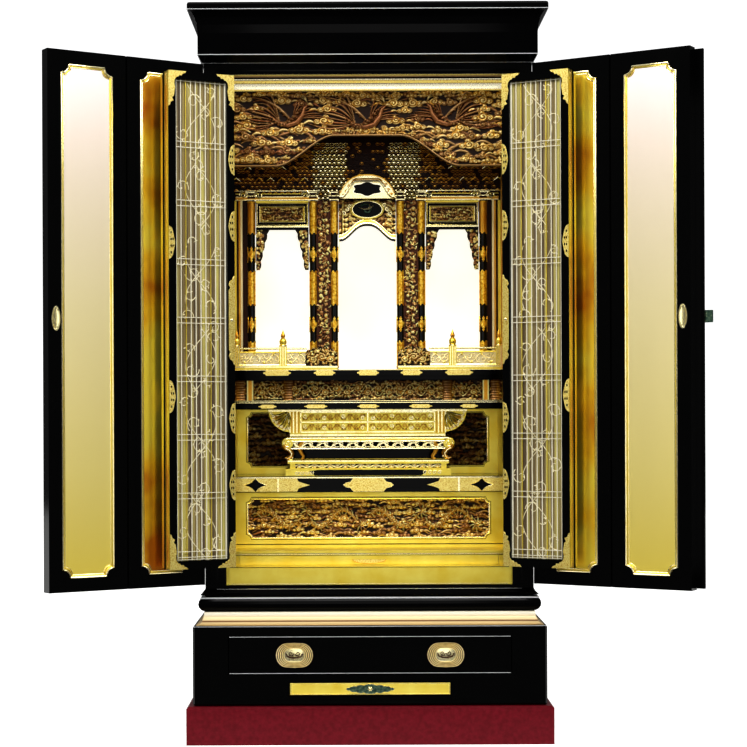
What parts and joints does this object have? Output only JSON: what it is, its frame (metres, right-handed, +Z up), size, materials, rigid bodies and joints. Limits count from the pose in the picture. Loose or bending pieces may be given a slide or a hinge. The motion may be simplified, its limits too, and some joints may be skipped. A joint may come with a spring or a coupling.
{
  "type": "buddhist altar cabinet",
  "caption": "Floor-standing altar cabinet with bifold doors, folding screens, a carved gilt shrine on a stepped dais, a pull-out offering board and a base drawer.",
  "frame": {"origin": "centre of the plinth's underside", "axes": "+Z up, -Y towards the doors and the person before the altar"},
  "size_m": [1.39, 0.7617, 1.587],
  "materials": {
    "black_lacquer": "polished black lacquer",
    "gilt_wood": "gold leaf",
    "carved_gilt": "carved, gold leaf and tint",
    "dark_carving": "dark carved wood, gilt edges",
    "plinth_red": "dark red covering",
    "pale_panel": "pale gilt paper",
    "plain_wood": "plain",
    "screen_silk": "woven gauze on slats",
    "brass": "cast and gilt",
    "green_bronze": "dark green patina"
  },
  "bodies": {
    "cabinet": {"plinth": "plinth_red", "base_box": "black_lacquer", "base_plaque": "gilt_wood", "base_ornament": "green_bronze", "base_moulding": "gilt_wood", "foot_board": "black_lacquer", "side_left": "black_lacquer", "side_right": "black_lacquer", "lining_left": "gilt_wood", "lining_right": "gilt_wood", "back_board": "black_lacquer", "ceiling_board": "plain_wood", "front_frame": "black_lacquer", "cornice": "black_lacquer", "roof_board": "black_lacquer", "gilt_sill": "gilt_wood", "lower_step": "gilt_wood", "lower_panel": "gilt_wood", "lower_carving": "carved_gilt", "dais_board_low": "black_lacquer", "dais_back_panel": "gilt_wood", "dais_relief": "carved_gilt", "dais_waist": "gilt_wood", "dais_board_mid": "black_lacquer", "frieze_carving": "carved_gilt", "dais_board_top": "black_lacquer", "table_stand": "gilt_wood", "offering_table": "gilt_wood", "railing_left": "gilt_wood", "railing_right": "gilt_wood", "pillar_outer_left": "black_lacquer", "pillar_outer_right": "black_lacquer", "pillar_pair_left": "black_lacquer", "pillar_pair_right": "black_lacquer", "side_transom_left": "carved_gilt", "side_transom_right": "carved_gilt", "centre_arch": "gilt_wood", "gable": "gilt_wood", "canopy": "dark_carving", "shrine_backboard": "pale_panel", "ranma_lintel": "gilt_wood", "ranma": "carved_gilt"},
    "offering_board": {"offering_tray": "gilt_wood"},
    "base_drawer": {"drawer": "black_lacquer", "drawer_pull_left": "brass", "drawer_pull_right": "brass"},
    "outer_left_hinged": {"outer_leaf_left_hinged": "black_lacquer"},
    "outer_left_free": {"outer_leaf_left_free": "black_lacquer"},
    "outer_right_hinged": {"outer_leaf_right_hinged": "black_lacquer"},
    "outer_right_free": {"outer_leaf_right_free": "black_lacquer", "meeting_strip": "black_lacquer", "door_latch": "green_bronze"},
    "inner_left_hinged": {"screen_frame_left_hinged": "black_lacquer", "screen_left_hinged": "screen_silk"},
    "inner_left_free": {"screen_frame_left_free": "black_lacquer", "screen_left_free": "screen_silk"},
    "inner_right_hinged": {"screen_frame_right_hinged": "black_lacquer", "screen_right_hinged": "screen_silk"},
    "inner_right_free": {"screen_frame_right_free": "black_lacquer", "screen_right_free": "screen_silk"}
  },
  "joints": [
    {"name": "left_outer_door_hinge", "type": "hinge", "parent": "cabinet", "child": "outer_left_hinged", "pos_m": [-0.359, -0.252, 0.9], "axis": [0, 0, -1], "range_deg": [-148, 0]},
    {"name": "left_outer_seam_hinge", "type": "hinge", "parent": "outer_left_hinged", "child": "outer_left_free", "pos_m": [-0.52649, -0.32364, 0.9], "axis": [0, 0, -1], "range_deg": [0, 165]},
    {"name": "left_screen_hinge", "type": "hinge", "parent": "cabinet", "child": "inner_left_hinged", "pos_m": [-0.309, -0.246, 0.9], "axis": [0, 0, -1], "range_deg": [-151.5, 0]},
    {"name": "left_screen_fold", "type": "hinge", "parent": "inner_left_hinged", "child": "inner_left_free", "pos_m": [-0.43261, -0.34213, 0.9], "axis": [0, 0, -1], "range_deg": [0, 180]},
    {"name": "right_outer_door_hinge", "type": "hinge", "parent": "cabinet", "child": "outer_right_hinged", "pos_m": [0.359, -0.252, 0.9], "axis": [0, 0, 1], "range_deg": [-148, 0]},
    {"name": "right_outer_seam_hinge", "type": "hinge", "parent": "outer_right_hinged", "child": "outer_right_free", "pos_m": [0.52649, -0.32364, 0.9], "axis": [0, 0, 1], "range_deg": [0, 165]},
    {"name": "right_screen_hinge", "type": "hinge", "parent": "cabinet", "child": "inner_right_hinged", "pos_m": [0.309, -0.246, 0.9], "axis": [0, 0, 1], "range_deg": [-151.5, 0]},
    {"name": "right_screen_fold", "type": "hinge", "parent": "inner_right_hinged", "child": "inner_right_free", "pos_m": [0.43261, -0.34213, 0.9], "axis": [0, 0, 1], "range_deg": [0, 180]},
    {"name": "base_drawer_slide", "type": "slide", "parent": "cabinet", "child": "base_drawer", "axis": [0, -1, 0], "range_m": [0, 0.34]},
    {"name": "offering_board_slide", "type": "slide", "parent": "cabinet", "child": "offering_board", "axis": [0, -1, 0], "range_m": [0, 0.19]}
  ],
  "couplings": [
    {"joint": "left_screen_hinge", "follows": "left_outer_door_hinge", "ratio": 1.0236},
    {"joint": "left_screen_fold", "follows": "left_outer_door_hinge", "ratio": -1.2162},
    {"joint": "right_screen_hinge", "follows": "right_outer_door_hinge", "ratio": 1.0236},
    {"joint": "right_screen_fold", "follows": "right_outer_door_hinge", "ratio": -1.2162}
  ]
}
